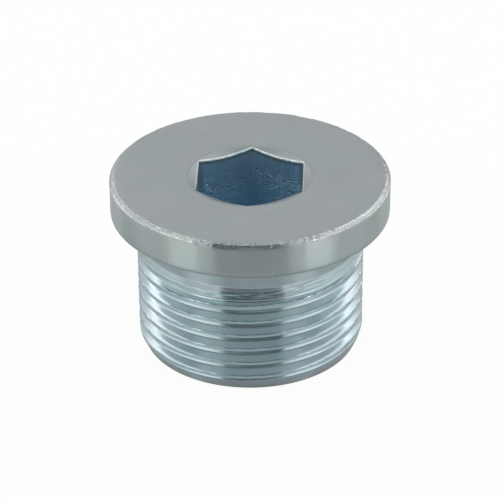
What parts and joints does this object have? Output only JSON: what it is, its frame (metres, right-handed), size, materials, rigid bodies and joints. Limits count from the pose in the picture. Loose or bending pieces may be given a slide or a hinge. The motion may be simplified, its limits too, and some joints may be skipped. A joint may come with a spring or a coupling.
{
  "type": "hex socket screw plug",
  "caption": "Collared screw plug with a metric fine thread on its shank and a hexagon socket in its flat round head.",
  "frame": {"origin": "centre of the shank's flat end face, on the plug's axis", "axes": "+Z along the axis from the end face up to the socket; two flats of the hexagon face +X and -X"},
  "size_m": [0.0266, 0.0266, 0.0173],
  "materials": {
    "zinc_plated_steel": "bright zinc plating with a faint blue passivation, satin on the turned faces and glossy on the rolled thread"
  },
  "bodies": {
    "root": {"screw_plug": "zinc_plated_steel"}
  },
  "joints": []
}
